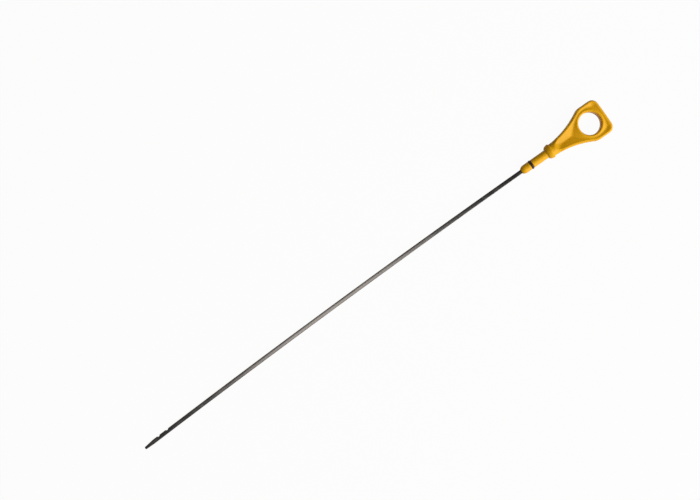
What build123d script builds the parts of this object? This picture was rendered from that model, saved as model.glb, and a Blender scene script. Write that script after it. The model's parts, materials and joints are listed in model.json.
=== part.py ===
from build123d import *
from math import asin, cos, degrees, radians, sin, sqrt
import os

os.makedirs("parts", exist_ok=True)

# Engine oil dipstick, sizes in millimetres and degrees.
# The origin is the centre of the seat, the flat ring under the collar.
# +X runs along the plug towards the finger eye, and +Z is the axis of the eye.

# Plug that closes the guide tube
plug_d = 8.0
plug_length = 28.4
nose_length = 3.9
nose_face_d = 4.4

# Seal ring and its groove
ring_section_d = 2.2
ring_proud = 0.5
ring_seat_flat = 0.1
ring_to_nose = 10.8
groove_side_clearance = 0.2

# Collar and neck
collar_d = 14.0
collar_width = 5.6
collar_front_rise = 2.4
collar_back_round = 0.9
neck_d = 12.0

# Flat grip that flares from the neck to the finger eye
eye_distance = 48.2
eye_hole_d = 21.4
eye_side_bar = 6.8
eye_end_bar = 5.7
end_crown = 0.4
grip_thickness = 10.5
flare_waist = 11.6
flare_radius = 85.0
shoulder_round = 10.0
corner_round = 6.4
edge_round = 1.7
eye_edge_round = 1.5

# Blend from the round neck to the flat grip
blend_start = 6.0
blend_inset = 0.3
blend_radius = 25.0
blend_turn = 65.0

# Scoop and channel sunk into both faces of the grip, with the same slope on every wall
scoop_start = 10.5
scoop_depth = 3.2
channel_corner = 4.8
channel_bed_round = 0.2
valley_round = 2.5
rim_flat = 0.2

# Blade, a flat steel strip with a slight edgewise bow
blade_width = 3.9
blade_thickness = 1.3
blade_edge_round = 0.3
blade_length = 432.0
blade_bow = 8.5
tail_length = 22.0
tip_taper_length = 10.2
tip_upper_taper = 1.0
tip_lower_taper = 0.45
tip_round = 0.9
notch_to_tip = 16.7
notch_pitch = 9.9
notch_radius = 1.5
notch_depth = 0.9

# How far cutting shapes pass the surface they cut, and how close an edge must be to be picked
cut_over = 1.5
pick_within = 0.001

# Derived places and radii
plug_r = plug_d / 2
neck_r = neck_d / 2
collar_r = collar_d / 2
eye_r = eye_hole_d / 2
nose_x = -plug_length
groove_x = nose_x + ring_to_nose
ring_section_r = ring_section_d / 2
ring_mid_r = plug_r + ring_proud - ring_section_r
groove_floor_r = ring_mid_r - ring_section_r + ring_seat_flat
groove_half = ring_section_r + groove_side_clearance
root_x = collar_width / 2
grip_half = eye_r + eye_side_bar
grip_end = eye_distance + eye_r + eye_end_bar
face_z = grip_thickness / 2
flank_y = flare_waist / 2
flank_centre_y = flank_y + flare_radius
flank_run = sqrt(flare_radius**2 - (flare_radius - grip_half + flank_y) ** 2)
shoulder_x = root_x + flank_run
outer_inset = edge_round + rim_flat
lip_r = eye_r + eye_edge_round + rim_flat
lip_x = eye_distance - lip_r
bow_radius = (blade_length**2 + blade_bow**2) / (2 * blade_bow)
half_width = blade_width / 2

# The scoop is deepest at the fork, which is as far from the flanks' rims as from the eye's lip
wall_reach = lip_x + flare_radius + outer_inset
fork_x = (wall_reach**2 - root_x**2 - flank_centre_y**2) / (2 * (wall_reach - root_x))
wall_run = (lip_x - fork_x) / scoop_depth
bed_inset = channel_corner - channel_bed_round


def at_height(edges, height):
    """Edges whose middle lies at a height over or under the XY plane."""
    return [e for e in edges if abs(abs(e.center().Z) - height) < pick_within]


def turned_body():
    """Nose, plug with its groove, collar and neck, turned about the X axis."""
    nose_rise = plug_r - nose_face_d / 2
    nose_r = (nose_length**2 + nose_rise**2) / (2 * nose_rise)
    shank_x = nose_x + nose_length
    neck_end = scoop_start + neck_r
    front_r = collar_r - collar_front_rise
    back_r = collar_r - collar_back_round
    back_x = collar_width - collar_back_round
    profile = [
        Line((nose_x, 0), (nose_x, nose_face_d / 2)),
        CenterArc((shank_x, plug_r - nose_r), nose_r, 90, degrees(asin(nose_length / nose_r))),
        Polyline(
            (shank_x, plug_r),
            (groove_x - groove_half, plug_r),
            (groove_x - groove_half, groove_floor_r),
            (groove_x + groove_half, groove_floor_r),
            (groove_x + groove_half, plug_r),
            (0, plug_r),
            (0, front_r),
        ),
        EllipticalCenterArc((back_x, front_r), back_x, collar_front_rise, 90, arc_size=90),
        CenterArc((back_x, back_r), collar_back_round, 0, 90),
        Polyline((collar_width, back_r), (collar_width, neck_r), (neck_end, neck_r), (neck_end, 0)),
        Line((neck_end, 0), (nose_x, 0)),
    ]
    return revolve(make_face(profile), axis=Axis.X)


def grip_plan():
    """Plan of the grip: concave flanks, shoulders, straight sides and a slightly crowned end."""
    flank_turn = degrees(asin(flank_run / flare_radius))
    half = Curve() + [
        Line((root_x, 0), (root_x, flank_y)),
        CenterArc((root_x, flank_centre_y), flare_radius, -90, flank_turn),
        Line((shoulder_x, grip_half), (grip_end, grip_half)),
    ]
    end = ThreePointArc((grip_end, grip_half), (grip_end + end_crown, 0), (grip_end, -grip_half))
    plan = make_face([*half.edges(), *mirror(half, Plane.XZ).edges(), end])
    plan = fillet(plan.vertices().sort_by(Axis.X)[-2:], corner_round)
    shoulders = [v for v in plan.vertices() if abs(v.X - shoulder_x) < pick_within]
    return fillet(shoulders, shoulder_round)


def neck_blend():
    """Trumpet about the X axis that trims the flat grip down to the round neck."""
    start_r = neck_r - blend_inset
    far_x = blend_start + blend_radius * sin(radians(blend_turn))
    far_r = start_r + blend_radius * (1 - cos(radians(blend_turn)))
    cover_r = grip_half + grip_thickness
    cover_x = grip_end + grip_half
    profile = [
        Polyline((root_x, 0), (root_x, start_r), (blend_start, start_r)),
        CenterArc((blend_start, start_r + blend_radius), blend_radius, -90, blend_turn),
        Polyline((far_x, far_r), (far_x, cover_r), (cover_x, cover_r), (cover_x, 0), (root_x, 0)),
    ]
    return revolve(make_face(profile), axis=Axis.X)


def grip_plate():
    """Grip with rounded rims, a neck blend and the finger eye with rounded lips."""
    plate = extrude(grip_plan(), amount=face_z, both=True)
    rims = [e for e in at_height(plate.edges(), face_z) if e.center().X > root_x + pick_within]
    plate = fillet(rims, edge_round) & neck_blend()
    plate = plate - Pos(eye_distance, 0, 0) * Cylinder(eye_r, 2 * grip_thickness)
    circles = at_height(plate.edges().filter_by(GeomType.CIRCLE), face_z)
    lips = [e for e in circles if abs(e.radius - eye_r) < pick_within]
    return fillet(lips, eye_edge_round)


def channel_plan(inset):
    """Rounded rectangle of the channel's outer wall, at a distance in plan from its rim."""
    x_low = scoop_start + inset
    x_high = grip_end - outer_inset - inset
    y_high = grip_half - outer_inset - inset
    plan = RectangleRounded(x_high - x_low, 2 * y_high, channel_corner - inset)
    return Pos((x_low + x_high) / 2, 0, face_z - inset / wall_run) * plan


def sloped_wall(radius):
    """Cone with the recess slope and a given radius at the grip's face."""
    crest = radius - 2 * cut_over * wall_run
    height = scoop_depth + 4 * cut_over
    cone = Cone(crest + height * wall_run, crest, height)
    return Pos(0, 0, face_z + 2 * cut_over - height / 2) * cone


def face_recess():
    """Scoop behind the neck that forks into a channel between the eye's lip and the outer rim."""
    channel = loft([channel_plan(bed_inset), channel_plan(-cut_over * wall_run)], ruled=True)
    bed_x = scoop_start + bed_inset
    bed_z = face_z - bed_inset / wall_run
    deep_z = bed_z - scoop_depth
    deep_x = bed_x + scoop_depth * wall_run
    scoop_side = Polyline((bed_x, bed_z), (deep_x, deep_z), (lip_x, deep_z), (lip_x, bed_z), close=True)
    recess = channel + extrude(Plane.XZ * make_face(scoop_side), amount=grip_half, both=True)
    flank_wall = sloped_wall(flare_radius + outer_inset)
    for side in (1, -1):
        recess = recess - Pos(root_x, side * flank_centre_y, 0) * flank_wall
    recess = recess - Pos(eye_distance, 0, 0) * sloped_wall(lip_r)
    corner_x = grip_end - outer_inset - channel_corner - pick_within
    sunk = [e for e in recess.edges() if e.bounding_box().min.Z < face_z - rim_flat]
    valleys = [e for e in sunk if e.bounding_box().max.Z < face_z or e.center().X < corner_x]
    return fillet(valleys, valley_round)


def along(run, offset):
    """Point on the bowed blade, by length from the nose and distance from the middle line."""
    turn = run / bow_radius
    reach = bow_radius + offset
    return (nose_x - reach * sin(turn), reach * cos(turn) - bow_radius)


def blade_strip():
    """Flat strip with rounded edges, a tapered tip and two level notches in one edge."""
    taper_run = blade_length - tip_taper_length
    tail_x = nose_x + tail_length
    bow_centre = (nose_x, -bow_radius)
    bow_turn = degrees(taper_run / bow_radius)
    outline = [
        Polyline((nose_x, half_width), (tail_x, half_width), (tail_x, -half_width), (nose_x, -half_width)),
        CenterArc(bow_centre, bow_radius + half_width, 90, bow_turn),
        CenterArc(bow_centre, bow_radius - half_width, 90, bow_turn),
        Polyline(
            along(taper_run, half_width),
            along(blade_length, half_width - tip_upper_taper),
            along(blade_length, tip_lower_taper - half_width),
            along(taper_run, -half_width),
        ),
    ]
    plan = make_face(outline)
    plan = fillet(plan.vertices().sort_by(Axis.X)[:2], tip_round)
    strip = extrude(plan, amount=blade_thickness / 2, both=True)
    strip = fillet(at_height(strip.edges(), blade_thickness / 2), blade_edge_round)
    for place in (notch_to_tip, notch_to_tip + notch_pitch):
        notch_x, notch_y = along(blade_length - place, half_width - notch_depth + notch_radius)
        strip = strip - Pos(notch_x, notch_y, 0) * Cylinder(notch_radius, 2 * blade_thickness)
    return strip


def seal():
    """Rubber ring of round section, flattened where it sits on the groove floor."""
    section = Pos(groove_x, ring_mid_r) * Circle(ring_section_r)
    section = section - Pos(groove_x, 0) * Rectangle(2 * ring_section_d, 2 * groove_floor_r)
    return revolve(section, axis=Axis.X)


def moulded_handle(insert):
    """One moulding of plug, collar, neck and grip, with a socket that closes on the insert."""
    recess = face_recess()
    body = turned_body() + grip_plate()
    return body - recess - mirror(recess, Plane.XY) - insert


blade = blade_strip()
handle = moulded_handle(blade)
seal_ring = seal()

export_step(handle, "parts/handle.step")
export_step(seal_ring, "parts/seal_ring.step")
export_step(blade, "parts/blade.step")
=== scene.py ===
import json
from math import radians
from types import SimpleNamespace

import bmesh
import bpy
import numpy as np
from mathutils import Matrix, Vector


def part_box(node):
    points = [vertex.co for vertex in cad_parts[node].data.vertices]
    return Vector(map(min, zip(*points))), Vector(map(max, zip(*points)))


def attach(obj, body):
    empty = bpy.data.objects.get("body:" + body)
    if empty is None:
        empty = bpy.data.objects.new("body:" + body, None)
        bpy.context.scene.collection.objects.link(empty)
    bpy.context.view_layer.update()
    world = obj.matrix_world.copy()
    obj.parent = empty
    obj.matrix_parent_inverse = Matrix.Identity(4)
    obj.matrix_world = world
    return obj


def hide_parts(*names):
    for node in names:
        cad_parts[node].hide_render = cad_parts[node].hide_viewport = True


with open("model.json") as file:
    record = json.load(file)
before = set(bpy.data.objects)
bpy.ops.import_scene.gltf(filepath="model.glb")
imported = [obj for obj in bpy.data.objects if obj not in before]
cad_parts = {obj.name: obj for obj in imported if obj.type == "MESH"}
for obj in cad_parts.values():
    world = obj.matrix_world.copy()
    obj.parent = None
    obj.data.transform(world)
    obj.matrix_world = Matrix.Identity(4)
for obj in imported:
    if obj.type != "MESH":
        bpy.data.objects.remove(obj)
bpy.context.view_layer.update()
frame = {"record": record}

bl_info = {
    "name": "Engine oil dipstick",
    "version": (1, 0, 0),
    "blender": (4, 5, 0),
    "location": "3D View > Sidebar > Dipstick",
    "description": "Builds the moulded handle, the seal ring, the steel blade and the stage",
    "category": "Add Mesh",
}

MM = 0.001
QUARTER = np.pi / 2

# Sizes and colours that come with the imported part, in metres
mounts = {mount["name"]: mount for mount in frame["record"]["mounts"]}
finishes = {finish["slot"]: finish for finish in frame["record"]["materials"]}
handle_low, handle_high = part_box("handle")
blade_low, blade_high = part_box("blade")
plug_across = 2 * mounts["guide_plug"]["dims"]["r_mm"] * MM
eye_across = 2 * mounts["finger_eye"]["dims"]["r_mm"] * MM
eye_from_seat = mounts["finger_eye"]["pos_m"][0]

# Plug and ring groove, in millimetres
NOSE_LENGTH = 3.9
NOSE_FACE_D = 4.4
GROOVE_HALF = 1.3
GROOVE_FLOOR_R = 2.4
GROOVE_EDGE = 0.15

# Eased edge of the nose face, as steps along X and in radius from its sharp corner
NOSE_EDGE = ((0.0, -0.25), (0.02, -0.11), (0.07, -0.02))

# Socket round the blade's tail, and its mouth as depths from the nose with the growth at each
SOCKET_GAP = 0.01
SOCKET_MOUTH = ((0.12, 0.0), (0.04, 0.04), (0.0, 0.12))

# Collar, where the ease is a power that softens its front, and 1 would leave a plain ellipse
COLLAR_FRONT_RISE = 2.4
COLLAR_BACK_ROUND = 0.9
COLLAR_EASE = 1.15
SEAT_FILLET = 0.25

# Grip with its scoop and channel, where soft is the width over which two surfaces blend
SHOULDER_ROUND = 10.0
CORNER_ROUND = 6.4
END_CROWN = 0.4
EDGE_ROUND = 1.7
EYE_EDGE_ROUND = 1.5
RIM_FLAT = 0.2
SCOOP_START = 10.5
CHANNEL_CORNER = 4.8
VALLEY_SOFT = 2.1
RIM_SOFT = 0.15

# Blend from the round neck to the flat grip, with the stretches of X where corners and height change
NECK_MORPH = (8.0, 16.0)
NECK_DROP = (7.7, 13.0)
FLANK_SOFT = 0.15
JOIN_X = 27.5

# Ridge that the two mould halves leave on the handle
PARTING_HEIGHT = 0.05
PARTING_WIDTH = 0.14

# How many steps each stretch of the handle is divided into
NOSE_STEPS = 22
LAND_STEPS = 5
GROOVE_EDGE_STEPS = 4
SHANK_STEPS = 11
SEAT_FILLET_STEPS = 5
COLLAR_FRONT_STEPS = 19
COLLAR_BACK_STEPS = 9
NECK_STEPS = 64
FLANK_STEPS = 64
SHOULDER_STEPS = 24
SIDE_STEPS = 18
CORNER_STEPS = 30
END_STEPS = 24
FACE_HALF_STEPS = 28
FACE_STEPS = 36
ROUND_STEPS = 8

# Levels of the grip's upright walls as shares of their height, closer together at the parting ridge
WALL_LEVELS = np.array([0.0, 0.02, 0.045, 0.08, 0.16, 0.34, 0.65, 1.0])

# Blade, in millimetres, where the edge limit is the largest share of a section that a round may take
BLADE_EDGE_ROUND = 0.3
BLADE_EDGE_LIMIT = 0.9
BLADE_CROWN = 0.1
TIP_TAPER = 10.2
TIP_UPPER_TAPER = 1.0
TIP_LOWER_TAPER = 0.45
TIP_ROUND = 0.9
NOTCH_COUNT = 2
NOTCH_EDGE_SOFT = 0.12
FINE_STRETCH = 36.0

# How many steps the blade is divided into, along it and in a quarter of its section
TAIL_STEPS = 11
PLAIN_STEPS = 259
FINE_STEPS = 429
TIP_STEPS = 25
BLADE_FACE_STEPS = 5
BLADE_CORNER_STEPS = 5
BLADE_SIDE_STEPS = 3

# Mould line outside the seal ring, in millimetres, and the ring's steps
FLASH_HEIGHT = 0.03
FLASH_WIDTH = 0.09
RING_STEPS = 220
RING_SECTION_STEPS = 72

# Points closer than this many metres are merged, and edges past these angles in degrees stay sharp
MERGE_WITHIN = 2e-7
SHARP_MOULDING = 40
SHARP_RUBBER = 60
SHARP_STEEL = 40

# Grain shared by plastic and rubber, as the detail of its two noises and the broad one's share of the scale
GRAIN_FINE_DETAIL = 3.0
GRAIN_BROAD_DETAIL = 2.0
GRAIN_BROAD_SHARE = 0.12

# Handling marks shared by all finishes
SMEAR_STRETCH = (0.45, 1.0, 1.0)
SMEAR_NOISE = {"Detail": 6.0, "Roughness": 0.62, "Distortion": 0.6}
SMEAR_CONTRAST = 3.2
SMEAR_MIDDLE = 0.5

# Finish of the plastic, with noise scales per metre, depths in metres and roughness around the setting
PLASTIC_FLOW = {"Scale": 55.0, "Detail": 4.0, "Distortion": 0.8}
PLASTIC_RUB = {"scale": 110.0, "cover": 0.5}
PLASTIC_ROUGH = (-0.06, 0.07)
PLASTIC_GRAIN = {"scale": 2600.0, "strength": 0.16, "distance": 0.0001}
PLASTIC_SPECULAR = 0.14

# Finish of the rubber
RUBBER_BLOOM = {"scale": 420.0, "cover": 0.56}
RUBBER_ROUGH = (-0.08, 0.12)
RUBBER_GRAIN = {"scale": 3400.0, "strength": 0.25, "distance": 0.00012}
RUBBER_SPECULAR = 0.22

# Finish of the steel, with lines drawn out along X
LINE_STRETCH = (18.0, 2600.0, 2600.0)
LINE_NOISE = {"Scale": 1.0, "Detail": 4.0}
LINE_SHARE = 0.55
LINE_BUMP = {"strength": 0.12, "distance": 0.00006}
STEEL_FILM = {"scale": 130.0, "cover": 0.5}
FILM_SHARE = 0.45
STEEL_ROUGH = (0.05, -0.04)

# Floor and backdrop, in metres
FLOOR_INNER_RINGS = (0.0, 0.3, 0.9)
FLOOR_FLAT_R = 1.8
FLOOR_BEND_R = 1.4
FLOOR_WALL = 0.8
FLOOR_BEND_STEPS = 29
FLOOR_STEPS = 128
FLOOR_ROUGHNESS = 0.9

# Lamps, in metres
KEY_PLACE = (0.64, -1.05, 0.76)
KEY_TARGET = (0.0, 0.0, 0.0)
KEY_SIZE = (1.6, 1.6)
PANEL_PLACE = (-0.295, -0.13, 1.25)
PANEL_TARGET = (-0.295, -0.13, 0.0)
PANEL_SIZE = (0.42, 0.36)

# Camera of the straight-down view, in metres and degrees, with its sensor in millimetres
VIEW_CENTRE = (-0.1998, 0.0321)
VIEW_TURN = -35.2
VIEW_SPAN = 0.6475
SENSOR = 36.0

# What settings of one kind have in common
LENGTH = {"unit": "LENGTH", "subtype": "DISTANCE", "precision": 4}
COLOUR = {"subtype": "COLOR", "min": 0, "max": 1}
FACTOR = {"subtype": "FACTOR", "min": 0, "max": 1}


def smooth_min(first, second, width):
    """Lower of two values, rounded off by a parabola where they differ by less than width."""
    overlap = np.clip(width - np.abs(first - second), 0, None) / width
    return np.minimum(first, second) - overlap**2 * width / 4


def smooth_step(value, low, high):
    """Cubic step from 0 at low to 1 at high: three times the share squared less twice its cube."""
    share = np.clip((value - low) / (high - low), 0, 1)
    return share * share * (3 - 2 * share)


def steps(count):
    """Shares from 0 to 1 in equal steps."""
    return np.linspace(0, 1, count + 1)


def drawn_in(past, radius):
    """Fall of a quarter circle past its start: radius less the root of its square less the distance's."""
    past = np.clip(past, 0, radius)
    return radius - np.sqrt(radius**2 - past**2)


def ridge(distance, height, width):
    """Bell curve: height times e to the power of minus the square of distance over width."""
    return height * np.exp(-((distance / width) ** 2))


def parting(z):
    """Height of the mould's parting ridge, by the distance from the parting plane."""
    return ridge(z, PARTING_HEIGHT, PARTING_WIDTH)


def arc(centre, radius, start, stop, count):
    """Points of a circular arc: centre plus radius times the cosine and sine of the angle."""
    angle = np.radians(np.linspace(start, stop, count + 1))
    return np.stack([centre[0] + radius * np.cos(angle), centre[1] + radius * np.sin(angle)], -1)


def full_loop(x, y, z):
    """Closed loops from quarter sections that run from the top middle to the side, mirrored twice."""
    back = slice(None, 0, -1)
    xs = [x[:, :-1], x[:, back], x[:, :-1], x[:, back]]
    ys = [y[:, :-1], y[:, back], -y[:, :-1], -y[:, back]]
    zs = [z[:, :-1], -z[:, back], -z[:, :-1], z[:, back]]
    return np.stack([np.concatenate(part, 1) for part in (xs, ys, zs)], -1)


def grid_quads(rows, cols, closed, start):
    """Vertex numbers of the quads of a grid, whose columns may close on themselves."""
    row = np.arange(rows - 1)[:, None] * cols
    col = np.arange(cols if closed else cols - 1)[None, :]
    right = (col + 1) % cols
    quads = np.stack([row + col, row + right, row + cols + right, row + cols + col], -1)
    return quads.reshape(-1, 4) + start


def merged_mesh(name, points, quads):
    """Smooth mesh from points in metres, with shared points merged and its faces turned one way."""
    mesh = bpy.data.meshes.new(name)
    mesh.from_pydata(points.tolist(), [], quads.tolist())
    shell = bmesh.new()
    shell.from_mesh(mesh)
    bmesh.ops.remove_doubles(shell, verts=shell.verts, dist=MERGE_WITHIN)
    bmesh.ops.recalc_face_normals(shell, faces=shell.faces)
    shell.to_mesh(mesh)
    shell.free()
    mesh.shade_smooth()
    return mesh


def open_edges(mesh):
    """Number of edges that don't join exactly two faces."""
    used = np.empty(len(mesh.loops), dtype=np.int32)
    mesh.loops.foreach_get("edge_index", used)
    return np.count_nonzero(np.bincount(used, minlength=len(mesh.edges)) != 2)


def add_object(name, data):
    """Object in the scene, at the origin."""
    added = bpy.data.objects.new(name, data)
    bpy.context.scene.collection.objects.link(added)
    return added


def closed_mesh(name, patches, sharp_degrees):
    """Mesh object from point grids in millimetres whose borders meet."""
    points = []
    quads = []
    start = 0
    for grid, closed in patches:
        rows, cols = grid.shape[:2]
        points.append(grid.reshape(-1, 3) * MM)
        quads.append(grid_quads(rows, cols, closed, start))
        start += rows * cols
    mesh = merged_mesh(name, np.concatenate(points), np.concatenate(quads))
    loose = open_edges(mesh)
    if loose:
        raise RuntimeError(f"{name} has {loose} open or crowded edges")
    mesh.set_sharp_from_angle(angle=radians(sharp_degrees))
    return add_object(name, mesh)


def finish_piece(piece, material, node):
    """Gives a piece its material and its place on the body, and hides the solid that it stands for."""
    piece.data.materials.append(material)
    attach(piece, "root")
    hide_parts(node)


def handle_form(settings):
    """Sizes of the handle in millimetres, with the places that follow from them.

    The scoop is deepest at the fork, which is as far from the flanks' rims as from the eye's lip. The
    walls' run is the distance in plan that goes with a fall of one millimetre.
    """
    form = SimpleNamespace()
    form.plug_r = settings.plug_diameter / MM / 2
    form.nose_x = -settings.plug_length / MM
    form.groove_x = form.nose_x + settings.ring_to_nose / MM
    form.socket_x = form.nose_x + settings.socket_depth / MM
    form.collar_r = settings.collar_diameter / MM / 2
    form.collar_width = settings.collar_width / MM
    form.neck_r = settings.neck_diameter / MM / 2
    form.eye_x = settings.eye_distance / MM
    form.eye_r = settings.eye_diameter / MM / 2
    form.half = form.eye_r + settings.side_bar / MM
    form.end_x = form.eye_x + form.eye_r + settings.end_bar / MM
    form.face_z = settings.grip_thickness / MM / 2
    form.flare = settings.flare_radius / MM
    form.root_x = form.collar_width / 2
    form.flank_y = settings.flare_waist / MM / 2 + form.flare
    form.inset = EDGE_ROUND + RIM_FLAT
    form.lip_r = form.eye_r + EYE_EDGE_ROUND + RIM_FLAT
    lip_x = form.eye_x - form.lip_r
    reach = lip_x + form.flare + form.inset
    fork_x = (reach**2 - form.root_x**2 - form.flank_y**2) / (2 * (reach - form.root_x))
    form.wall_run = (lip_x - fork_x) / (settings.scoop_depth / MM)
    return form


def recess_top(form, x, y, z):
    """Height of the grip's skin: the lower of the body and of walls that fall at one slope from every rim.

    The walls' fall is the distance in plan from the nearest rim, with its valleys rounded, over the
    walls' run. The rims are the two flanks, the rounded rectangle of the channel and the eye's lip.
    """
    flank_up = np.hypot(x - form.root_x, form.flank_y - y) - form.flare - form.inset
    flank_down = np.hypot(x - form.root_x, form.flank_y + y) - form.flare - form.inset
    far_x = form.end_x - form.inset
    core_x = np.abs(x - (SCOOP_START + far_x) / 2) - (far_x - SCOOP_START) / 2 + CHANNEL_CORNER
    core_y = np.abs(y) - form.half + form.inset + CHANNEL_CORNER
    corner = np.hypot(np.clip(core_x, 0, None), np.clip(core_y, 0, None))
    channel = CHANNEL_CORNER - corner - np.minimum(np.maximum(core_x, core_y), 0)
    lip = np.hypot(x - form.eye_x, y) - form.lip_r
    fall = smooth_min(flank_up, flank_down, VALLEY_SOFT)
    fall = smooth_min(fall, channel, VALLEY_SOFT)
    fall = smooth_min(fall, lip, VALLEY_SOFT)
    return smooth_min(z, form.face_z - fall / form.wall_run, RIM_SOFT)


def neck_sections(form):
    """Skin from the round neck to the flat grip: rounded rectangles whose corner radius shrinks along X.

    A section point is found by its share of the quarter's length: along the face, round the corner,
    then down the side. The shares go from equal angles at the neck to the grip's own spacing, where
    the face's points crowd towards the rim: the mean of equal steps and a quarter sine wave. The
    corners lean with the slope of the flank.
    """
    foot = np.linspace(form.collar_width, JOIN_X, NECK_STEPS + 1)[:, None]
    morph = smooth_step(foot, *NECK_MORPH)
    flank_wide = form.flank_y - np.sqrt(form.flare**2 - (foot - form.root_x) ** 2)
    wide = -smooth_min(-flank_wide, np.full_like(foot, -form.neck_r), FLANK_SOFT)
    slope = np.arctan(np.gradient(wide[:, 0], foot[:, 0]))[:, None]
    slope[0] = 0
    slope[-1] = np.arcsin((JOIN_X - form.root_x) / form.flare)
    bend = form.neck_r + (EDGE_ROUND - form.neck_r) * morph
    tall = form.neck_r + (form.face_z - form.neck_r) * smooth_step(foot, *NECK_DROP)
    flat = wide - bend * np.cos(slope)
    total = flat + bend * QUARTER + tall - bend
    step = steps(FACE_HALF_STEPS)
    face = flat[-1] * (step + np.sin(QUARTER * step)) / 2
    turn = flat[-1] + bend[-1] * QUARTER * steps(ROUND_STEPS)[1:]
    side = total[-1] - (tall[-1] - bend[-1]) * WALL_LEVELS[-2::-1]
    grip_share = np.concatenate([face, turn, side]) / total[-1]
    neck_share = np.linspace(0, 1, len(grip_share))
    run = total * (neck_share + (grip_share - neck_share) * morph)
    angle = np.clip((run - flat) / bend, 0, QUARTER)
    drop = np.clip(run - flat - bend * QUARTER, 0, None)
    x = foot + bend * np.sin(slope) * (1 - np.sin(angle))
    y = np.minimum(run, flat) + bend * np.cos(slope) * np.sin(angle)
    z = tall - bend * (1 - np.cos(angle)) - drop
    z[:, -1] = 0
    y[:, 0] = 0
    seam = parting(z) * (angle > 0)
    x = x - seam * np.sin(slope)
    y = y + seam * np.cos(slope)
    return x, y, recess_top(form, x, y, z)


def eye_outline(form):
    """Half outline from the join to the middle of the end, with inward normals.

    It is a concave flank arc, a shoulder arc, a straight side, a corner arc and a slightly crowned end.
    """
    shoulder_y = form.half - SHOULDER_ROUND
    shoulder_r = form.flare + SHOULDER_ROUND
    shoulder_x = form.root_x + np.sqrt(shoulder_r**2 - (form.flank_y - shoulder_y) ** 2)
    join_turn = np.degrees(np.arcsin((JOIN_X - form.root_x) / form.flare))
    shoulder_turn = np.degrees(np.arcsin((shoulder_x - form.root_x) / shoulder_r))
    crown_r = (form.half**2 + END_CROWN**2) / (2 * END_CROWN)
    crown_x = form.end_x + END_CROWN - crown_r
    corner_y = form.half - CORNER_ROUND
    end_turn = np.degrees(np.arcsin(corner_y / (crown_r - CORNER_ROUND)))
    corner_x = crown_x + np.sqrt((crown_r - CORNER_ROUND) ** 2 - corner_y**2)
    side_x = np.linspace(shoulder_x, corner_x, SIDE_STEPS + 1)
    flank = arc((form.root_x, form.flank_y), form.flare, join_turn - 90, shoulder_turn - 90, FLANK_STEPS)
    shoulder = arc((shoulder_x, shoulder_y), SHOULDER_ROUND, 90 + shoulder_turn, 90, SHOULDER_STEPS)
    side = np.stack([side_x, np.full_like(side_x, form.half)], -1)
    corner = arc((corner_x, corner_y), CORNER_ROUND, 90, end_turn, CORNER_STEPS)
    end = arc((crown_x, 0), crown_r, end_turn, 0, END_STEPS)
    points = np.concatenate([flank, shoulder[1:], side[1:], corner[1:], end[1:]])
    inward = np.concatenate([
        (flank - (form.root_x, form.flank_y)) / form.flare,
        ((shoulder_x, shoulder_y) - shoulder[1:]) / SHOULDER_ROUND,
        np.zeros_like(side[1:]) - (0, 1),
        ((corner_x, corner_y) - corner[1:]) / CORNER_ROUND,
        ((crown_x, 0) - end[1:]) / crown_r,
    ])
    return points, inward


def inner_columns(form, start):
    """Skin from points on the face to the eye: straight towards its axis, over the lip, down the wall.

    Across the face the points crowd towards both ends: the mean of equal steps and a half cosine wave.
    """
    away = start - (form.eye_x, 0)
    reach = np.linalg.norm(away, axis=1)[:, None]
    step = steps(FACE_STEPS)
    share = (step + (1 - np.cos(np.pi * step)) / 2) / 2
    face_r = reach + (form.eye_r + EYE_EDGE_ROUND - reach) * share
    angle = QUARTER * steps(ROUND_STEPS)[1:]
    lip_r = form.eye_r + EYE_EDGE_ROUND * (1 - np.sin(angle))
    lip_z = form.face_z - EYE_EDGE_ROUND * (1 - np.cos(angle))
    wall_z = (form.face_z - EYE_EDGE_ROUND) * WALL_LEVELS[-2::-1]
    wall_r = form.eye_r - parting(wall_z)
    below_r = np.tile(np.concatenate([lip_r, wall_r]), (len(start), 1))
    below_z = np.tile(np.concatenate([lip_z, wall_z]), (len(start), 1))
    radius = np.concatenate([face_r, below_r], 1)
    z = np.concatenate([np.full_like(face_r, form.face_z), below_z], 1)
    x = form.eye_x + away[:, :1] / reach * radius
    y = away[:, 1:] / reach * radius
    return x, y, z


def eye_patches(form, cut):
    """Both faces of the grip round the eye, from the outer walls and from the cut where the neck joins."""
    half, half_in = eye_outline(form)
    flip = np.array([1, -1])
    points = np.concatenate([half, half[-2::-1] * flip])
    inward = np.concatenate([half_in, half_in[-2::-1] * flip])
    wall_z = (form.face_z - EDGE_ROUND) * WALL_LEVELS
    angle = QUARTER * steps(ROUND_STEPS)[1:-1]
    offset = np.concatenate([-parting(wall_z), EDGE_ROUND * (1 - np.cos(angle))])
    level = np.concatenate([wall_z, form.face_z - EDGE_ROUND * (1 - np.sin(angle))])
    outer = points[:, None, :] + inward[:, None, :] * offset[None, :, None]
    x, y, z = inner_columns(form, points + inward * EDGE_ROUND)
    x = np.concatenate([outer[..., 0], x], 1)
    y = np.concatenate([outer[..., 1], y], 1)
    z = np.concatenate([np.tile(level, (len(points), 1)), z], 1)
    rim = np.stack([x, y, recess_top(form, x, y, z)], -1)
    x, y, z = inner_columns(form, cut)
    bridge = np.stack([x, y, recess_top(form, x, y, z)], -1)
    under = np.array([1, 1, -1])
    return [(rim, False), (rim * under, False), (bridge, False), (bridge * under, False)]


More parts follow.
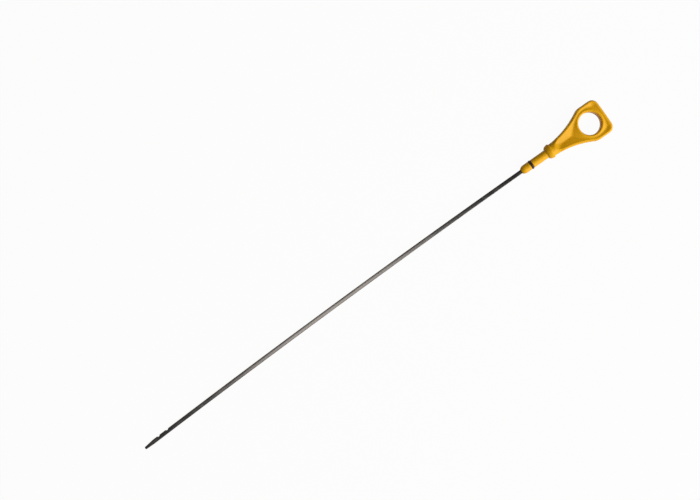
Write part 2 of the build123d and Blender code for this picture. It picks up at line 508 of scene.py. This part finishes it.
def turned_profile(form):
    """Profile of nose, plug, groove, collar and neck as distance along X and radius, with eased edges.

    The collar's front is an ellipse whose sine and cosine are raised to the power of the ease.
    """
    shank_x = form.nose_x + NOSE_LENGTH
    rise = form.plug_r - NOSE_FACE_D / 2
    nose_r = (NOSE_LENGTH**2 + rise**2) / (2 * rise)
    nose_turn = np.degrees(np.arcsin(NOSE_LENGTH / nose_r))
    front = form.groove_x - GROOVE_HALF
    back = form.groove_x + GROOVE_HALF
    edge = GROOVE_EDGE
    outer_r = form.plug_r - edge
    inner_r = GROOVE_FLOOR_R + edge
    seat_r = form.collar_r - COLLAR_FRONT_RISE
    back_x = form.collar_width - COLLAR_BACK_ROUND
    back_r = form.collar_r - COLLAR_BACK_ROUND
    nose = arc((shank_x, form.plug_r - nose_r), nose_r, 90 + nose_turn, 90, NOSE_STEPS)
    land = np.linspace((shank_x, form.plug_r), (front - edge, form.plug_r), LAND_STEPS + 1)
    shank = np.linspace((back + edge, form.plug_r), (-SEAT_FILLET, form.plug_r), SHANK_STEPS + 1)
    angle = QUARTER * steps(COLLAR_FRONT_STEPS)
    bead_x = back_x * (1 - np.cos(angle) ** COLLAR_EASE)
    bead_r = seat_r + COLLAR_FRONT_RISE * np.sin(angle) ** COLLAR_EASE
    return np.concatenate([
        nose[0] + NOSE_EDGE,
        nose[1:],
        land[1:-1],
        arc((front - edge, outer_r), edge, 90, 0, GROOVE_EDGE_STEPS),
        arc((front + edge, inner_r), edge, 180, 270, GROOVE_EDGE_STEPS),
        arc((back - edge, inner_r), edge, 270, 360, GROOVE_EDGE_STEPS),
        arc((back + edge, outer_r), edge, 180, 90, GROOVE_EDGE_STEPS),
        shank[1:-1],
        arc((-SEAT_FILLET, form.plug_r + SEAT_FILLET), SEAT_FILLET, 270, 360, SEAT_FILLET_STEPS),
        np.stack([bead_x, bead_r], -1),
        arc((back_x, back_r), COLLAR_BACK_ROUND, 90, 0, COLLAR_BACK_STEPS)[1:],
        [(form.collar_width, form.neck_r)],
    ])


def slot_ring(place, wide, tall, bend, count):
    """One rounded rectangle across X, as a closed loop with as many points as the turned skin."""
    flat = wide - bend
    run = np.linspace(0, flat + bend * QUARTER + tall - bend, count)[None, :]
    angle = np.clip((run - flat) / bend, 0, QUARTER)
    drop = np.clip(run - flat - bend * QUARTER, 0, None)
    y = np.minimum(run, flat) + bend * np.sin(angle)
    z = tall - bend * (1 - np.cos(angle)) - drop
    z[:, -1] = 0
    return full_loop(np.full_like(y, place), y, z)


def turned_skin(form, blade, count):
    """Socket for the blade's tail, then the profile turned about X.

    The turned part's y and z are the radius times the sine and cosine of the angle. The socket is a
    pole at its end and rounded rectangles that grow a little at the mouth.
    """
    angle = np.linspace(0, QUARTER, count)
    profile = turned_profile(form)
    x = np.tile(profile[:, :1], (1, count))
    y = profile[:, 1:] * np.sin(angle)
    z = profile[:, 1:] * np.cos(angle)
    y[:, 0] = 0
    z[:, -1] = 0
    outside = profile[:, 1:] > form.plug_r - GROOVE_EDGE
    at_side = y > form.plug_r / 2
    body = full_loop(x, y + parting(z) * outside * at_side, z)
    wide = blade.width / MM / 2 + SOCKET_GAP
    tall = blade.thickness / MM / 2 + SOCKET_GAP
    levels = [(form.socket_x, 0)] + [(form.nose_x + depth, grow) for depth, grow in SOCKET_MOUTH]
    rings = [
        slot_ring(place, wide + grow, tall + grow, BLADE_EDGE_ROUND + grow, count)
        for place, grow in levels
    ]
    pole = np.broadcast_to(np.array([form.socket_x, 0, 0]), rings[0].shape)
    return np.concatenate([pole, *rings, body])


def handle_patches(form, blade):
    """Skin of the whole handle: the turned body, the neck and both faces round the eye."""
    x, y, z = neck_sections(form)
    half_cut = np.stack([x[-1], y[-1]], -1)[:FACE_HALF_STEPS + 1]
    cut = np.concatenate([half_cut[::-1], half_cut[1:] * (1, -1)])
    body = turned_skin(form, blade, x.shape[1])
    return [(body, True), (full_loop(x, y, z), True), *eye_patches(form, cut)]


def blade_stations(blade):
    """Lengths from the nose along the blade's middle line, closer together at the notches and the tip."""
    length = blade.length / MM
    tail = np.linspace(-blade.tail_length / MM, 0, TAIL_STEPS + 1)
    plain = np.linspace(0, length - FINE_STRETCH, PLAIN_STEPS + 1)[1:]
    fine = np.linspace(length - FINE_STRETCH, length - TIP_ROUND, FINE_STEPS + 1)[1:]
    last = length - TIP_ROUND * (1 - np.sin(QUARTER * steps(TIP_STEPS)))[1:]
    return np.concatenate([tail, plain, fine, last])


def blade_edges(blade, run):
    """Upper and lower edge of the blade, as distances from its middle line.

    The notches are circles cut into the upper edge. At the tip both edges draw in along straight lines
    and end in quarter rounds.
    """
    length = blade.length / MM
    half = blade.width / MM / 2
    taper = np.clip((run - length + TIP_TAPER) / TIP_TAPER, 0, 1)
    upper = half - TIP_UPPER_TAPER * taper
    lower = TIP_LOWER_TAPER * taper - half
    for count in range(NOTCH_COUNT):
        place = length - blade.notch_to_tip / MM - count * blade.notch_pitch / MM
        hollow = half - blade.notch_depth / MM + drawn_in(np.abs(run - place), blade.notch_radius / MM)
        upper = smooth_min(upper, hollow, NOTCH_EDGE_SOFT)
    draw = drawn_in(run - length + TIP_ROUND, TIP_ROUND)
    return upper - draw, lower + draw


def blade_sections(wide, tall):
    """Quarter sections of the blade as distances across and heights: a face, a round corner, then the side.

    The crown lowers the heights by a share that grows with the square of the distance across.
    """
    bend = np.minimum(BLADE_EDGE_ROUND, BLADE_EDGE_LIMIT * np.minimum(wide, tall))
    flat = wide - bend
    face = steps(BLADE_FACE_STEPS)[:-1]
    corner = QUARTER * steps(BLADE_CORNER_STEPS)
    side = steps(BLADE_SIDE_STEPS)[-2::-1]
    across = [flat * face, flat + bend * np.sin(corner), np.repeat(wide, len(side), 1)]
    height = [np.repeat(tall, len(face), 1), tall - bend * (1 - np.cos(corner)), (tall - bend) * side]
    across = np.concatenate(across, 1)
    height = np.concatenate(height, 1)
    return across, height * (1 - BLADE_CROWN / tall * (across / wide) ** 2)


def blade_skin(blade, nose_x):
    """Sections carried along the blade: a straight tail, then an arc that bows sideways."""
    length = blade.length / MM
    bow = blade.bow / MM
    bow_r = (length**2 + bow**2) / (2 * bow)
    run = blade_stations(blade)
    upper, lower = blade_edges(blade, run)
    from_end = np.minimum(length - run, run + blade.tail_length / MM)
    ease = drawn_in(BLADE_EDGE_ROUND - from_end, BLADE_EDGE_ROUND)
    tall = (blade.thickness / MM / 2 - ease)[:, None]
    wide = ((upper - lower) / 2)[:, None]
    middle = ((upper + lower) / 2)[:, None]
    across, height = blade_sections(wide, tall)
    loop = full_loop(np.repeat(run[:, None], across.shape[1], 1), across, height)
    reach = bow_r + loop[..., 1] + middle
    turn = np.clip(loop[..., 0], 0, None) / bow_r
    straight = np.clip(-loop[..., 0], 0, None)
    x = nose_x + straight - reach * np.sin(turn)
    y = reach * np.cos(turn) - bow_r
    skin = np.stack([x, y, loop[..., 2]], -1)
    start = np.broadcast_to(skin[0].mean(0), skin[:1].shape)
    end = np.broadcast_to(skin[-1].mean(0), skin[:1].shape)
    return np.concatenate([start, skin, end])


def ring_skin(seal, plug_r, ring_x):
    """Round section turned about X, cut flat on the groove floor, with a fine mould line outside."""
    section_r = seal.section_diameter / MM / 2
    middle_r = plug_r + seal.stand_out / MM - section_r
    around = np.linspace(0, 2 * np.pi, RING_STEPS, endpoint=False)[None, :]
    section = 2 * np.pi * steps(RING_SECTION_STEPS)[:, None]
    across = section_r * np.sin(section)
    flash = ridge(across, FLASH_HEIGHT, FLASH_WIDTH) * (np.cos(section) > 0)
    radius = np.maximum(middle_r + section_r * np.cos(section), GROOVE_FLOOR_R) + flash
    y = radius * np.sin(around)
    z = radius * np.cos(around)
    return np.stack([np.broadcast_to(ring_x + across, y.shape), y, z], -1)


def link(tree, source, target):
    """Joins two sockets of a node tree."""
    tree.links.new(source, target)


def add_math(tree, operation, *values, clamp=False):
    """Result of a Math node on sockets and numbers."""
    node = tree.nodes.new("ShaderNodeMath")
    node.operation = operation
    node.use_clamp = clamp
    for socket, value in zip(node.inputs, values):
        if isinstance(value, bpy.types.NodeSocket):
            link(tree, value, socket)
        else:
            socket.default_value = value
    return node.outputs["Value"]


def add_noise(tree, place, values):
    """Noise texture at a place, with values for its named inputs."""
    noise = tree.nodes.new("ShaderNodeTexNoise")
    for label, value in values.items():
        noise.inputs[label].default_value = value
    link(tree, place, noise.inputs["Vector"])
    return noise


def stretched(tree, place, scale):
    """Coordinates with a scale of their own along each axis."""
    mapping = tree.nodes.new("ShaderNodeMapping")
    mapping.inputs["Scale"].default_value = scale
    link(tree, place, mapping.inputs["Vector"])
    return mapping.outputs["Vector"]


def group_shell(name, numbers, output):
    """Empty shader node group that takes a place and numbers and puts out one value, with its end nodes."""
    group = bpy.data.node_groups.new(name, "ShaderNodeTree")
    group.interface.new_socket("Vector", in_out="INPUT", socket_type="NodeSocketVector")
    for label in numbers:
        group.interface.new_socket(label, in_out="INPUT", socket_type="NodeSocketFloat")
    group.interface.new_socket(output, in_out="OUTPUT", socket_type="NodeSocketFloat")
    return group, group.nodes.new("NodeGroupInput"), group.nodes.new("NodeGroupOutput")


def fine_grain_group():
    """Skin grain of moulded plastic and rubber: the sum of a fine and a broader noise."""
    group, given, result = group_shell("fine_grain", ["Scale"], "Height")
    place = given.outputs["Vector"]
    scale = given.outputs["Scale"]
    fine = add_noise(group, place, {"Detail": GRAIN_FINE_DETAIL})
    link(group, scale, fine.inputs["Scale"])
    broad = add_noise(group, place, {"Detail": GRAIN_BROAD_DETAIL})
    link(group, add_math(group, "MULTIPLY", scale, GRAIN_BROAD_SHARE), broad.inputs["Scale"])
    height = add_math(group, "ADD", fine.outputs["Fac"], broad.outputs["Fac"])
    link(group, height, result.inputs["Height"])
    return group


def handling_group():
    """Smears and rubbed patches from handling: stretched noise pushed towards light and dark areas.

    The mask is the noise less the cover, times the contrast, plus the middle, kept from 0 to 1.
    """
    group, given, result = group_shell("handling_marks", ["Scale", "Cover"], "Mask")
    noise = add_noise(group, stretched(group, given.outputs["Vector"], SMEAR_STRETCH), SMEAR_NOISE)
    link(group, given.outputs["Scale"], noise.inputs["Scale"])
    over = add_math(group, "SUBTRACT", noise.outputs["Fac"], given.outputs["Cover"])
    mask = add_math(group, "MULTIPLY_ADD", over, SMEAR_CONTRAST, SMEAR_MIDDLE, clamp=True)
    link(group, mask, result.inputs["Mask"])
    return group


def add_group(tree, place, name, maker, values):
    """Shared node group at a place, with a material's own values, made when it is first asked for."""
    node = tree.nodes.new("ShaderNodeGroup")
    node.node_tree = bpy.data.node_groups.get(name) or maker()
    for label, value in values.items():
        node.inputs[label].default_value = value
    link(tree, place, node.inputs["Vector"])
    return node


def add_bump(tree, shader, height, strength, distance):
    """Bump on the shader's normal."""
    bump = tree.nodes.new("ShaderNodeBump")
    bump.inputs["Strength"].default_value = strength
    bump.inputs["Distance"].default_value = distance
    link(tree, height, bump.inputs["Height"])
    link(tree, bump.outputs["Normal"], shader.inputs["Normal"])


def add_grain(tree, shader, place, scale, strength, distance):
    """Grain of the surface as a bump."""
    grain = add_group(tree, place, "fine_grain", fine_grain_group, {"Scale": scale})
    add_bump(tree, shader, grain.outputs["Height"], strength, distance)


def add_handling(tree, place, scale, cover):
    """Mask of smears and rubbed patches."""
    marks = add_group(tree, place, "handling_marks", handling_group, {"Scale": scale, "Cover": cover})
    return marks.outputs["Mask"]


def between(tree, mask, low, high):
    """Value that goes from low to high as the mask goes from 0 to 1."""
    span = tree.nodes.new("ShaderNodeMapRange")
    span.inputs["To Min"].default_value = low
    span.inputs["To Max"].default_value = high
    link(tree, mask, span.inputs["Value"])
    return span.outputs["Result"]


def vary_roughness(tree, shader, mask, middle, spread):
    """Roughness from the middle plus the first of the spread to the middle plus the second, by a mask."""
    low, high = spread
    link(tree, between(tree, mask, middle + low, middle + high), shader.inputs["Roughness"])


def vary_colour(tree, shader, mask, first, second):
    """Base colour that goes from the first to the second as the mask goes from 0 to 1."""
    mix = tree.nodes.new("ShaderNodeMix")
    mix.data_type = "RGBA"
    mix.inputs["A"].default_value = (*first, 1)
    mix.inputs["B"].default_value = (*second, 1)
    link(tree, mask, mix.inputs["Factor"])
    link(tree, mix.outputs["Result"], shader.inputs["Base Color"])


def new_material(name):
    """Material with its node tree and its Principled shader."""
    material = bpy.data.materials.new(name)
    material.use_nodes = True
    return material, material.node_tree, material.node_tree.nodes["Principled BSDF"]


def object_place(tree):
    """Object coordinates in a material."""
    return tree.nodes.new("ShaderNodeTexCoord").outputs["Object"]


def satin_plastic(settings):
    """Deep yellow moulded plastic: tone that drifts in the flow, rubbed patches and a fine satin grain."""
    material, tree, shader = new_material("satin_yellow_plastic")
    place = object_place(tree)
    flow = add_noise(tree, place, PLASTIC_FLOW)
    vary_colour(tree, shader, flow.outputs["Fac"], settings.deep_colour, settings.colour)
    rubbed = add_handling(tree, place, **PLASTIC_RUB)
    vary_roughness(tree, shader, rubbed, settings.roughness, PLASTIC_ROUGH)
    add_grain(tree, shader, place, **PLASTIC_GRAIN)
    shader.inputs["Specular IOR Level"].default_value = PLASTIC_SPECULAR
    return material


def seal_rubber(settings):
    """Black rubber with a faint bloom in patches."""
    material, tree, shader = new_material("black_seal_rubber")
    place = object_place(tree)
    bloom = add_handling(tree, place, **RUBBER_BLOOM)
    vary_colour(tree, shader, bloom, settings.colour, settings.bloom_colour)
    vary_roughness(tree, shader, bloom, settings.roughness, RUBBER_ROUGH)
    add_grain(tree, shader, place, **RUBBER_GRAIN)
    shader.inputs["Specular IOR Level"].default_value = RUBBER_SPECULAR
    return material


def rolled_steel(settings):
    """Dull rolled steel strip: fine lines along its length under a thin, uneven film of oil."""
    material, tree, shader = new_material("oiled_rolled_steel")
    place = object_place(tree)
    lines = add_noise(tree, stretched(tree, place, LINE_STRETCH), LINE_NOISE)
    film = add_handling(tree, place, **STEEL_FILM)
    line_dark = between(tree, lines.outputs["Fac"], 0.0, LINE_SHARE)
    dark = add_math(tree, "MULTIPLY_ADD", film, FILM_SHARE, line_dark, clamp=True)
    vary_colour(tree, shader, dark, settings.colour, settings.film_colour)
    vary_roughness(tree, shader, film, settings.roughness, STEEL_ROUGH)
    add_bump(tree, shader, lines.outputs["Fac"], **LINE_BUMP)
    shader.inputs["Metallic"].default_value = 1.0
    return material


def pale_floor(settings):
    """Floor that shows white to the camera, the steel and the gloss, with a share of its own shading."""
    material, tree, shader = new_material("pale_floor")
    shader.inputs["Base Color"].default_value = (*settings.floor_colour, 1)
    shader.inputs["Roughness"].default_value = FLOOR_ROUGHNESS
    shader.inputs["Specular IOR Level"].default_value = 0.0
    path = tree.nodes.new("ShaderNodeLightPath")
    seen = path.outputs["Is Camera Ray"]
    for kind in ("Is Glossy Ray", "Is Transmission Ray"):
        seen = add_math(tree, "ADD", seen, path.outputs[kind])
    white = tree.nodes.new("ShaderNodeEmission")
    mix = tree.nodes.new("ShaderNodeMixShader")
    link(tree, add_math(tree, "MULTIPLY", seen, settings.white_share), mix.inputs["Fac"])
    link(tree, shader.outputs["BSDF"], mix.inputs[1])
    link(tree, white.outputs["Emission"], mix.inputs[2])
    link(tree, mix.outputs["Shader"], tree.nodes["Material Output"].inputs["Surface"])
    return material


def floor_bowl(settings):
    """Flat floor that curves up all round into a backdrop: a flat disc, a quarter circle, then a wall.

    The floor leans along X, so that the collar and the blade's tip both rest on it.
    """
    angle = QUARTER * steps(FLOOR_BEND_STEPS)
    bend_r = FLOOR_FLAT_R + FLOOR_BEND_R * np.sin(angle)
    bend_z = FLOOR_BEND_R * (1 - np.cos(angle))
    radius = np.concatenate([FLOOR_INNER_RINGS, bend_r, bend_r[-1:]])[:, None]
    height = np.concatenate([np.zeros(len(FLOOR_INNER_RINGS)), bend_z, bend_z[-1:] + FLOOR_WALL])[:, None]
    around = np.linspace(0, 2 * np.pi, FLOOR_STEPS, endpoint=False)
    x = radius * np.cos(around)
    y = radius * np.sin(around)
    lean = (blade_low.z - handle_low.z) / (settings.collar_middle - blade_low.x)
    z = height + blade_low.z - lean * (x - blade_low.x)
    points = np.stack([x, y, z], -1).reshape(-1, 3)
    mesh = merged_mesh("floor", points, grid_quads(*x.shape, True, 0))
    floor = add_object("floor", mesh)
    floor.data.materials.append(pale_floor(settings))


def soft_lamp(name, place, target, size, watts, colour):
    """Area lamp that faces a target and isn't seen by the camera.

    Its tilt is the angle of its aim from straight down, and its turn is the bearing of its aim from +Y.
    """
    data = bpy.data.lights.new(name, "AREA")
    data.shape = "RECTANGLE"
    data.size, data.size_y = size
    data.energy = watts
    data.color = colour
    lamp = add_object(name, data)
    lamp.location = place
    aim_x, aim_y, aim_z = np.subtract(target, place)
    lamp.rotation_euler = (np.arctan2(np.hypot(aim_x, aim_y), -aim_z), 0, -np.arctan2(aim_x, aim_y))
    lamp.visible_camera = False


def plain_surroundings(settings):
    """White world of even brightness."""
    world = bpy.data.worlds.new("plain_surroundings")
    world.use_nodes = True
    background = world.node_tree.nodes["Background"]
    background.inputs["Color"].default_value = (1, 1, 1, 1)
    background.inputs["Strength"].default_value = settings.sky
    bpy.context.scene.world = world


def straight_down_camera(settings):
    """Camera over the part, at the height where the view's span fills its sensor's width."""
    data = bpy.data.cameras.new("straight_down")
    data.lens = settings.focal
    data.sensor_width = SENSOR
    camera = add_object("straight_down", data)
    camera.location = (*VIEW_CENTRE, VIEW_SPAN * settings.focal / SENSOR)
    camera.rotation_euler = (0, 0, radians(VIEW_TURN))
    bpy.context.scene.camera = camera


class DIPSTICK_PG_handle(bpy.types.PropertyGroup):
    """Sizes and finish of the moulded handle"""
    plug_diameter: bpy.props.FloatProperty(
        name="Plug", description="Diameter of the plug in the guide tube", default=plug_across, **LENGTH)
    plug_length: bpy.props.FloatProperty(
        name="Plug length", description="From the seat to the nose", default=-handle_low.x, **LENGTH)
    collar_diameter: bpy.props.FloatProperty(
        name="Collar", description="Diameter of the stop collar",
        default=handle_high.z - handle_low.z, **LENGTH)
    collar_width: bpy.props.FloatProperty(
        name="Collar width", description="Length of the collar along the plug", default=0.0056, **LENGTH)
    neck_diameter: bpy.props.FloatProperty(
        name="Neck", description="Diameter of the round neck behind the collar", default=0.012, **LENGTH)
    eye_distance: bpy.props.FloatProperty(
        name="Eye distance", description="From the seat to the middle of the finger eye",
        default=eye_from_seat, **LENGTH)
    eye_diameter: bpy.props.FloatProperty(
        name="Eye", description="Diameter of the finger eye", default=eye_across, **LENGTH)
    side_bar: bpy.props.FloatProperty(
        name="Side bar", description="Width of the grip beside the eye", default=0.0068, **LENGTH)
    end_bar: bpy.props.FloatProperty(
        name="End bar", description="Width of the grip behind the eye", default=0.0057, **LENGTH)
    grip_thickness: bpy.props.FloatProperty(
        name="Grip thickness", description="Thickness of the flat grip", default=0.0105, **LENGTH)
    flare_waist: bpy.props.FloatProperty(
        name="Flare waist", description="Width of the grip's plan where it starts inside the collar",
        default=0.0116, **LENGTH)
    flare_radius: bpy.props.FloatProperty(
        name="Flare radius", description="Radius of the concave flanks", default=0.085, **LENGTH)
    scoop_depth: bpy.props.FloatProperty(
        name="Scoop depth", description="Depth of the scoop where it forks round the eye",
        default=0.0032, **LENGTH)
    ring_to_nose: bpy.props.FloatProperty(
        name="Ring to nose", description="From the nose to the middle of the ring groove",
        default=0.0108, **LENGTH)
    socket_depth: bpy.props.FloatProperty(
        name="Socket depth", description="Depth of the socket that holds the blade",
        default=0.022, **LENGTH)
    colour: bpy.props.FloatVectorProperty(
        name="Colour", description="Colour of the plastic",
        default=finishes["moulded_plastic"]["base_color"], **COLOUR)
    deep_colour: bpy.props.FloatVectorProperty(
        name="Deep colour", description="Darker tone that drifts along the moulding",
        default=(0.62, 0.31, 0.002), **COLOUR)
    roughness: bpy.props.FloatProperty(
        name="Roughness", description="Roughness of the satin skin", default=0.42, **FACTOR)


class DIPSTICK_PG_seal(bpy.types.PropertyGroup):
    """Sizes and finish of the seal ring"""
    section_diameter: bpy.props.FloatProperty(
        name="Section", description="Diameter of the ring's section", default=0.0022, **LENGTH)
    stand_out: bpy.props.FloatProperty(
        name="Stand-out", description="How far the ring stands out of the plug", default=0.0005, **LENGTH)
    colour: bpy.props.FloatVectorProperty(
        name="Colour", description="Colour of the rubber",
        default=finishes["seal_rubber"]["base_color"], **COLOUR)
    bloom_colour: bpy.props.FloatVectorProperty(
        name="Bloom colour", description="Colour of the rubber under its dusty bloom",
        default=(0.045, 0.025, 0.013), **COLOUR)
    roughness: bpy.props.FloatProperty(
        name="Roughness", description="Roughness of the rubber", default=0.5, **FACTOR)


class DIPSTICK_PG_blade(bpy.types.PropertyGroup):
    """Sizes and finish of the steel blade"""
    width: bpy.props.FloatProperty(
        name="Width", description="Width of the strip", default=0.0039, **LENGTH)
    thickness: bpy.props.FloatProperty(
        name="Thickness", description="Thickness of the strip",
        default=blade_high.z - blade_low.z, **LENGTH)
    length: bpy.props.FloatProperty(
        name="Length", description="From the nose to the tip along the strip", default=0.432, **LENGTH)
    bow: bpy.props.FloatProperty(
        name="Bow", description="Sideways bow of the strip at its tip", default=0.0085, **LENGTH)
    tail_length: bpy.props.FloatProperty(
        name="Tail", description="Length of the strip inside the handle", default=0.022, **LENGTH)
    notch_radius: bpy.props.FloatProperty(
        name="Notch radius", description="Radius of the level notches", default=0.0015, **LENGTH)
    notch_depth: bpy.props.FloatProperty(
        name="Notch depth", description="Depth of the level notches", default=0.0009, **LENGTH)
    notch_to_tip: bpy.props.FloatProperty(
        name="Notch to tip", description="From the tip to the lower notch", default=0.0167, **LENGTH)
    notch_pitch: bpy.props.FloatProperty(
        name="Notch pitch", description="From one notch to the other", default=0.0099, **LENGTH)
    colour: bpy.props.FloatVectorProperty(
        name="Colour", description="Colour of the bare steel",
        default=finishes["blade_steel"]["base_color"], **COLOUR)
    film_colour: bpy.props.FloatVectorProperty(
        name="Film colour", description="Colour of the steel under oil",
        default=(0.0755, 0.077, 0.0795), **COLOUR)
    roughness: bpy.props.FloatProperty(
        name="Roughness", description="Roughness of the rolled steel", default=0.21, **FACTOR)


class DIPSTICK_PG_stage(bpy.types.PropertyGroup):
    """Floor, lamps, surroundings and camera"""
    floor_colour: bpy.props.FloatVectorProperty(
        name="Floor", description="Colour of the floor and backdrop", default=(0.5, 0.5, 0.5), **COLOUR)
    white_share: bpy.props.FloatProperty(
        name="White share", description="How much of the floor's shading gives way to white",
        default=0.96, **FACTOR)
    collar_middle: bpy.props.FloatProperty(
        name="Collar middle", description="Place of the collar on the floor along the plug",
        default=0.0035, **LENGTH)
    key_watts: bpy.props.FloatProperty(
        name="Key", description="Power of the main lamp", default=40.0, unit="POWER")
    key_colour: bpy.props.FloatVectorProperty(
        name="Key colour", description="Colour of the main lamp", default=(1.0, 1.0, 1.0), **COLOUR)
    panel_watts: bpy.props.FloatProperty(
        name="Panel", description="Power of the panel over the blade", default=1.47, unit="POWER")
    panel_colour: bpy.props.FloatVectorProperty(
        name="Panel colour", description="Warm white of the panel over the blade",
        default=(1.0, 0.9, 0.83), **COLOUR)
    sky: bpy.props.FloatProperty(
        name="Sky", description="Brightness of the plain surroundings", default=0.12, **FACTOR)
    focal: bpy.props.FloatProperty(
        name="Focal length", description="Focal length of the camera in millimetres",
        default=65.0, unit="CAMERA")


class DIPSTICK_OT_handle(bpy.types.Operator):
    """Build the moulded handle with its plug, collar, neck and grip"""
    bl_idname = "dipstick.handle"
    bl_label = "Build handle"

    def execute(self, context):
        settings = context.scene.dipstick_handle
        patches = handle_patches(handle_form(settings), context.scene.dipstick_blade)
        handle = closed_mesh("moulded_handle", patches, SHARP_MOULDING)
        finish_piece(handle, satin_plastic(settings), "handle")
        return {"FINISHED"}


class DIPSTICK_OT_seal(bpy.types.Operator):
    """Build the rubber ring in the plug's groove"""
    bl_idname = "dipstick.seal"
    bl_label = "Build seal ring"

    def execute(self, context):
        settings = context.scene.dipstick_seal
        form = handle_form(context.scene.dipstick_handle)
        skin = ring_skin(settings, form.plug_r, form.groove_x)
        ring = closed_mesh("rubber_seal_ring", [(skin, True)], SHARP_RUBBER)
        finish_piece(ring, seal_rubber(settings), "seal_ring")
        return {"FINISHED"}


class DIPSTICK_OT_blade(bpy.types.Operator):
    """Build the notched steel blade"""
    bl_idname = "dipstick.blade"
    bl_label = "Build blade"

    def execute(self, context):
        settings = context.scene.dipstick_blade
        form = handle_form(context.scene.dipstick_handle)
        blade = closed_mesh("steel_blade", [(blade_skin(settings, form.nose_x), True)], SHARP_STEEL)
        finish_piece(blade, rolled_steel(settings), "blade")
        return {"FINISHED"}


class DIPSTICK_OT_stage(bpy.types.Operator):
    """Set up the floor, the lamps, the surroundings and the camera"""
    bl_idname = "dipstick.stage"
    bl_label = "Set up stage"

    def execute(self, context):
        settings = context.scene.dipstick_stage
        floor_bowl(settings)
        key = (settings.key_watts, settings.key_colour)
        panel = (settings.panel_watts, settings.panel_colour)
        soft_lamp("key_lamp", KEY_PLACE, KEY_TARGET, KEY_SIZE, *key)
        soft_lamp("blade_panel", PANEL_PLACE, PANEL_TARGET, PANEL_SIZE, *panel)
        plain_surroundings(settings)
        straight_down_camera(settings)
        context.scene.view_settings.view_transform = "Standard"
        return {"FINISHED"}


class DIPSTICK_PT_panel(bpy.types.Panel):
    """Sizes, colours and steps of the dipstick"""
    bl_idname = "DIPSTICK_PT_panel"
    bl_label = "Dipstick"
    bl_space_type = "VIEW_3D"
    bl_region_type = "UI"
    bl_category = "Dipstick"

    def draw(self, context):
        for step in ("handle", "seal", "blade", "stage"):
            box = self.layout.box()
            box.operator(f"dipstick.{step}")
            settings = getattr(context.scene, f"dipstick_{step}")
            for name in settings_groups[f"dipstick_{step}"].__annotations__:
                box.prop(settings, name)


settings_groups = {
    "dipstick_handle": DIPSTICK_PG_handle,
    "dipstick_seal": DIPSTICK_PG_seal,
    "dipstick_blade": DIPSTICK_PG_blade,
    "dipstick_stage": DIPSTICK_PG_stage,
}
operators_and_panel = (
    DIPSTICK_OT_handle,
    DIPSTICK_OT_seal,
    DIPSTICK_OT_blade,
    DIPSTICK_OT_stage,
    DIPSTICK_PT_panel,
)


def register():
    """Registers the settings, the operators and the panel."""
    for name, group in settings_groups.items():
        bpy.utils.register_class(group)
        setattr(bpy.types.Scene, name, bpy.props.PointerProperty(type=group))
    for added in operators_and_panel:
        bpy.utils.register_class(added)


def unregister():
    """Takes away what register added."""
    for added in reversed(operators_and_panel):
        bpy.utils.unregister_class(added)
    for name, group in settings_groups.items():
        delattr(bpy.types.Scene, name)
        bpy.utils.unregister_class(group)


def main():
    """Builds every piece and the stage."""
    register()
    bpy.ops.dipstick.handle()
    bpy.ops.dipstick.seal()
    bpy.ops.dipstick.blade()
    bpy.ops.dipstick.stage()


if __name__ == "__main__":
    main()
